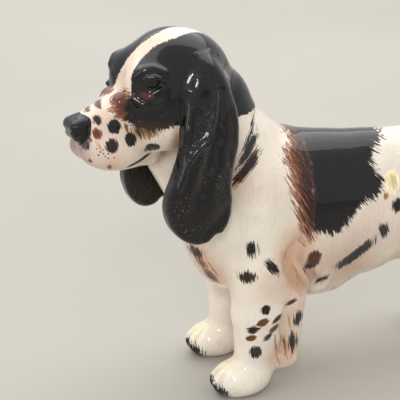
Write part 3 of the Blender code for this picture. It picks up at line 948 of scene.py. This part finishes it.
def store(mesh, name, kind, values):
    attribute = mesh.attributes.new(name, kind, "POINT")
    key = {"FLOAT": "value", "FLOAT_VECTOR": "vector", "FLOAT_COLOR": "color"}[kind]
    attribute.data.foreach_set(key, np.ascontiguousarray(values, np.float32).ravel())


def add_object(name, data):
    thing = bpy.data.objects.new(name, data)
    bpy.context.scene.collection.objects.link(thing)
    return thing


def mesh_of(name, places, faces, outwards):
    """A smooth mesh whose corners take the clay's own slope as their normals."""
    mesh = bpy.data.meshes.new(name)
    mesh.vertices.add(len(places))
    mesh.vertices.foreach_set("co", np.ascontiguousarray(places, np.float32).ravel())
    mesh.loops.add(faces.size)
    mesh.loops.foreach_set("vertex_index", np.ascontiguousarray(faces, np.int32).ravel())
    mesh.polygons.add(len(faces))
    starts = np.arange(0, faces.size, faces.shape[1], dtype=np.int32)
    mesh.polygons.foreach_set("loop_start", starts)
    mesh.update(calc_edges=True)
    mesh.shade_smooth()
    mesh.normals_split_custom_set_from_vertices(outwards.tolist())
    return mesh


def make_piece(name, clay, field, shown, marks):
    """Meshes a field, takes its normals from the uncut form and stores its paint."""
    at, faces = clay.surface(field)
    deep = clay.sample(at, shown)
    outwards = np.where(
        (deep < -0.5 * clay.step)[:, None], clay.slope(at, field), clay.slope(at, shown)
    )
    # How hollow each vertex lies, for the painted shade in hollows.
    cavity = 1 - clay.sample(at + outwards * 3.0, shown) / 2.6
    points = {}
    for home in (HEAD, BODY):
        points[home] = np.stack(between_frames(at.T, clay.home, home), 1)
    tips = np.stack(between_frames((at + outwards).T, clay.home, BODY), 1)
    mesh = mesh_of(name, (points[BODY] + SHIFT) * MM, faces, tips - points[BODY])
    store(mesh, "clay", "FLOAT_VECTOR", airbrushed_and_shaded(points, cavity))
    store(mesh, "place", "FLOAT_VECTOR", points[clay.home])
    for layer in (UNDER, OVER):
        gap, feather, ink, grain = painted_layer(marks, layer, points)
        if layer == OVER:
            ink = recoloured(ink, points)
        store(mesh, f"{layer}_gap", "FLOAT", gap)
        store(mesh, f"{layer}_feather", "FLOAT", feather)
        store(mesh, f"{layer}_ink", "FLOAT_VECTOR", ink)
        store(mesh, f"{layer}_grain", "FLOAT_VECTOR", grain)
    return add_object(name, mesh)


# ---- glaze ----


class Nodes:
    """Short ways to add nodes to a material."""

    def __init__(self, name):
        self.material = bpy.data.materials.new(name)
        self.material.use_nodes = True
        self.tree = self.material.node_tree
        self.shader = self.tree.nodes["Principled BSDF"]

    def add(self, kind, inputs=(), **settings):
        node = self.tree.nodes.new(kind)
        for key, value in settings.items():
            setattr(node, key, value)
        for key, value in dict(inputs).items():
            self.put(value, node.inputs[key])
        return node

    def put(self, value, socket):
        if isinstance(value, bpy.types.NodeSocket):
            self.tree.links.new(value, socket)
        else:
            socket.default_value = value

    def shade(self, name, value):
        self.put(value, self.shader.inputs[name])

    def stored(self, name, output="Vector"):
        node = self.add("ShaderNodeAttribute", attribute_name=name)
        return node.outputs[output]

    def math(self, operation, a, b=0.0, c=0.0):
        node = self.add("ShaderNodeMath", {0: a, 1: b, 2: c}, operation=operation)
        return node.outputs[0]

    def stretched(self, place, scale):
        """Multiplies a vector or a colour by another, or by one number."""
        node = self.add("ShaderNodeVectorMath", {0: place, 1: scale}, operation="MULTIPLY")
        return node.outputs[0]

    def noise(self, place, scale, detail=2.0, roughness=0.5):
        inputs = {"Vector": place, "Scale": scale, "Detail": detail, "Roughness": roughness}
        return self.add("ShaderNodeTexNoise", inputs).outputs["Fac"]

    def strands(self, place, scales, **settings):
        """Noise with a scale of its own along each axis."""
        return self.noise(self.stretched(place, scales), 1.0, **settings)

    def ramp(self, value, low, high, to_low=0.0, to_high=1.0):
        inputs = {"Value": value, 1: low, 2: high, 3: to_low, 4: to_high}
        node = self.add("ShaderNodeMapRange", inputs, interpolation_type="SMOOTHSTEP")
        return node.outputs[0]

    def mix(self, share, a, b):
        node = self.add("ShaderNodeMix", data_type="RGBA")
        for value, socket in ((share, 0), (a, 6), (b, 7)):
            self.put(value, node.inputs[socket])
        return node.outputs[2]


HAIR_SCALE = (1.7, 0.5, 0.15)  # noise across the hair, through it and along it, per mm
STROKE_SCALE = (4.4, 1.0, 0.25)
WASH = {UNDER: (0.15, 0.08, 0.045), OVER: (0.006, 0.005, 0.004)}  # added to thin paint


def brushed(nodes, layer, below):
    """One layer of paint over the colour below, its edge broken into strokes of hair."""
    gap = nodes.stored(f"{layer}_gap", "Fac")
    feather = nodes.stored(f"{layer}_feather", "Fac")
    grain = nodes.stored(f"{layer}_grain")
    locks = nodes.strands(grain, HAIR_SCALE, detail=1.0)
    hairs = nodes.strands(grain, STROKE_SCALE)
    ragged = nodes.math("MULTIPLY_ADD", locks, 0.6, nodes.math("MULTIPLY", hairs, 0.8))
    ragged = nodes.math("MULTIPLY", nodes.math("SUBTRACT", ragged, 0.7), 4.2)
    edge = nodes.math("MULTIPLY_ADD", ragged, feather, gap)
    soft = nodes.math("MULTIPLY_ADD", feather, 0.22, 0.1)
    cover = nodes.ramp(edge, nodes.math("MULTIPLY", soft, -1.0), soft, 1.0, 0.0)
    streaks = nodes.ramp(hairs, 0.35, 0.65)
    ink = nodes.stored(f"{layer}_ink")
    depth = nodes.ramp(edge, nodes.math("MULTIPLY", feather, -1.3), 0.0)
    washed = nodes.stretched(ink, (1.6, 1.7, 1.8))
    washed = nodes.add("ShaderNodeVectorMath", {0: washed, 1: WASH[layer]}).outputs[0]
    ink = nodes.mix(depth, ink, washed)
    thin = nodes.math("MULTIPLY_ADD", streaks, 0.35, 0.8)
    return nodes.mix(cover, below, nodes.stretched(ink, thin))


def glaze_waves(nodes, place, hair_depth, pools=1.0):
    """The slight waviness of a dipped glaze, over faint modelled hair."""
    pool = nodes.noise(place, 0.16)
    hair = nodes.strands(place, (1.3, 1.3, 0.3))
    height = nodes.math("MULTIPLY_ADD", hair, hair_depth, nodes.math("MULTIPLY", pool, pools))
    bump = nodes.add("ShaderNodeBump", {"Strength": 0.35, "Distance": 0.0006, "Height": height})
    return bump.outputs[0]


def coat(nodes, roughness):
    shader = nodes.shader.inputs
    shader["Specular IOR Level"].default_value = 0.1
    shader["Coat Weight"].default_value = 1.0
    shader["Coat Roughness"].default_value = 0.045
    shader["Coat IOR"].default_value = 1.4
    place = nodes.stored("place")
    uneven = nodes.noise(place, 0.5, detail=3.0)
    nodes.shade("Roughness", nodes.ramp(uneven, 0.3, 0.7, roughness, roughness + 0.12))
    return place


def painted_glaze(name, hair_depth):
    """Cream earthenware with painted hair under a clear glaze."""
    nodes = Nodes(name)
    place = coat(nodes, 0.28)
    mottle = nodes.ramp(nodes.noise(place, 0.12, detail=3.0), 0.3, 0.7, 0.93, 1.03)
    cream = nodes.stretched(nodes.stored("clay"), mottle)
    strands = nodes.strands(place, (1.1, 1.1, 0.24), detail=3.0)
    strands = nodes.ramp(strands, 0.52, 0.72, 0.0, 0.42)
    cream = nodes.mix(strands, cream, nodes.stretched(cream, (0.90, 0.78, 0.68)))
    colour = brushed(nodes, OVER, brushed(nodes, UNDER, cream))
    nodes.shade("Base Color", colour)
    nodes.shade("Normal", glaze_waves(nodes, place, hair_depth))
    return nodes.material


def ear_glaze(name):
    """Black that breaks to brown on the raised hair, with a few light specks painted on as tiny
    glints.
    """
    nodes = Nodes(name)
    place = coat(nodes, 0.25)
    streaks = nodes.strands(place, (0.5, 0.5, 0.12), detail=4.0, roughness=0.6)
    warm = nodes.ramp(streaks, 0.5, 0.7, 0.0, 0.8)
    colour = nodes.mix(warm, (*srgb(9, 8, 9), 1), (*srgb(26, 16, 14), 1))
    # Painted glints: a few light grey specks, in patches.
    where = nodes.ramp(nodes.noise(place, 0.09, detail=1.0), 0.42, 0.6)
    fine = nodes.noise(place, 1.9, roughness=0.6)
    glint_specks = nodes.math("MULTIPLY", nodes.ramp(fine, 0.64, 0.70, 0.0, 0.6), where)
    colour = nodes.mix(glint_specks, colour, (*srgb(160, 156, 152), 1))
    nodes.shade("Base Color", colour)
    nodes.shade("Normal", glaze_waves(nodes, place, 0.8, pools=3.0))
    return nodes.material


# ---- making the figure ----


def stands_for(piece, node, material):
    piece.data.materials.append(material)
    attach(piece, "root")
    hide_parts(node)


def make_body(body, marks, glaze):
    torso = make_piece("torso_glazed", body, torso_field(body), body.field, marks)
    stands_for(torso, "torso", glaze)
    for name, region in LIMB_REGIONS.items():
        field = luted(body.field, region(body.points()))
        piece = make_piece(f"{name}_glazed", body, field, body.field, marks)
        stands_for(piece, name, glaze)


def make_head(head, marks, glaze, black_glaze):
    """The head, and both ears blended over it."""
    bare = head.field
    shown = bare.copy()
    leaves = {}
    for side, word in SIDES:
        window, leaf = ear_leaf(head, side)
        height = head.points(window)[2]
        join = 0.5 + 5.0 * np.clip((height - 102) / 12, 0, 1)
        blend = blended(leaf, bare[window], join)
        shown[window] = np.minimum(shown[window], blend)
        leaves[word] = window, cut_out(blend, bare[window] - 0.02, 0.01)
    seam = head_region(head.points_in(BODY))
    piece = make_piece("head_glazed", head, luted(bare, seam), shown, marks)
    stands_for(piece, "head", glaze)
    for word, (window, leaf) in leaves.items():
        field = np.full(bare.shape, FAR, np.float32)
        field[window] = leaf
        piece = make_piece(f"ear_{word}_glazed", head, field, shown, [])
        stands_for(piece, f"ear_{word}", black_glaze)


def make_figure():
    body = Clay((-62, -30, -2), (94, 30, 120), BODY_STEP, BODY)
    head = Clay((-84, -28, 58), (-4, 28, 135), HEAD_STEP, HEAD)
    for clay in (body, head):
        sculpt_dog(clay)
    clays = {BODY: body, HEAD: head}
    marks = [*head_marks(clays), *body_marks(clays)]
    body_glaze = painted_glaze("body_glaze", 1.3)
    head_glaze = painted_glaze("head_glaze", 0.5)
    black_glaze = ear_glaze("ear_glaze")
    make_body(body, marks, body_glaze)
    make_head(head, marks, head_glaze, black_glaze)


# ---- studio ----

AZIMUTH, ELEVATION = -18.9, 21.8  # degrees, where the camera stands
CAMERA_AWAY = 470.0  # mm
LENS, SENSOR = 123.1, 36.0  # mm
LOOK_AHEAD, LOOK_HEIGHT = -34.4, 68.0  # what it looks at, on the figure's centre plane


def make_camera():
    turn, rise = math.radians(AZIMUTH), math.radians(ELEVATION)
    back = Vector((math.sin(turn) * math.cos(rise), -math.cos(turn) * math.cos(rise), math.sin(rise)))
    target = Vector((LOOK_AHEAD, SHIFT[1], LOOK_HEIGHT))
    data = bpy.data.cameras.new("camera")
    data.lens, data.sensor_width, data.clip_start = LENS, SENSOR, 0.01
    camera = add_object("camera", data)
    camera.location = (target + back * CAMERA_AWAY) * MM
    camera.rotation_euler = back.to_track_quat("Z", "Y").to_euler()
    bpy.context.scene.camera = camera


def softbox(name, place, target, size, radiance):
    """A rectangular light, in metres, of the given brightness over its face."""
    data = bpy.data.lights.new(name, "AREA")
    data.shape = "RECTANGLE"
    data.size, data.size_y = size
    data.energy = radiance * math.pi * size[0] * size[1]
    light = add_object(name, data)
    light.location = place
    light.rotation_euler = (Vector(place) - Vector(target)).to_track_quat("Z", "Y").to_euler()


def make_floor():
    bpy.ops.mesh.primitive_plane_add(size=6.0, location=(0, 0, 0))
    floor = bpy.context.object
    floor.name = "floor"
    nodes = Nodes("floor_paper")
    place = nodes.add("ShaderNodeTexCoord").outputs["Object"]
    tone = nodes.ramp(nodes.noise(place, 3.0, detail=3.0), 0.3, 0.7)
    colour = nodes.mix(tone, (*srgb(172, 167, 157), 1), (*srgb(179, 174, 164), 1))
    nodes.shade("Base Color", colour)
    nodes.shader.inputs["Roughness"].default_value = 0.7
    floor.data.materials.append(nodes.material)


def make_studio():
    scene = bpy.context.scene
    scene.view_settings.view_transform = "Standard"
    scene.world = bpy.data.worlds.new("studio")
    scene.world.use_nodes = True
    backdrop = scene.world.node_tree.nodes["Background"]
    backdrop.inputs["Color"].default_value = (0.94, 0.97, 1.0, 1.0)
    backdrop.inputs["Strength"].default_value = 0.76
    softbox("overhead", (0.1, 0.5, 0.8), (0.1, 0.5, 0.0), (1.7, 1.3), 1.6)
    softbox("window", (-0.9, -0.35, 0.45), (0, 0, 0.06), (0.5, 0.5), 1.6)
    softbox("key", (-0.5, -1.2, 0.95), (0, 0, 0.07), (0.22, 0.22), 25.0)
    softbox("low_glint", (-0.62, -0.8, 0.42), (-0.05, 0, 0.08), (0.03, 0.03), 50.0)
    softbox("glint", (-0.25, -0.55, 0.6), (-0.05, 0, 0.1), (0.03, 0.05), 60.0)
    make_floor()
    make_camera()


make_figure()
make_studio()
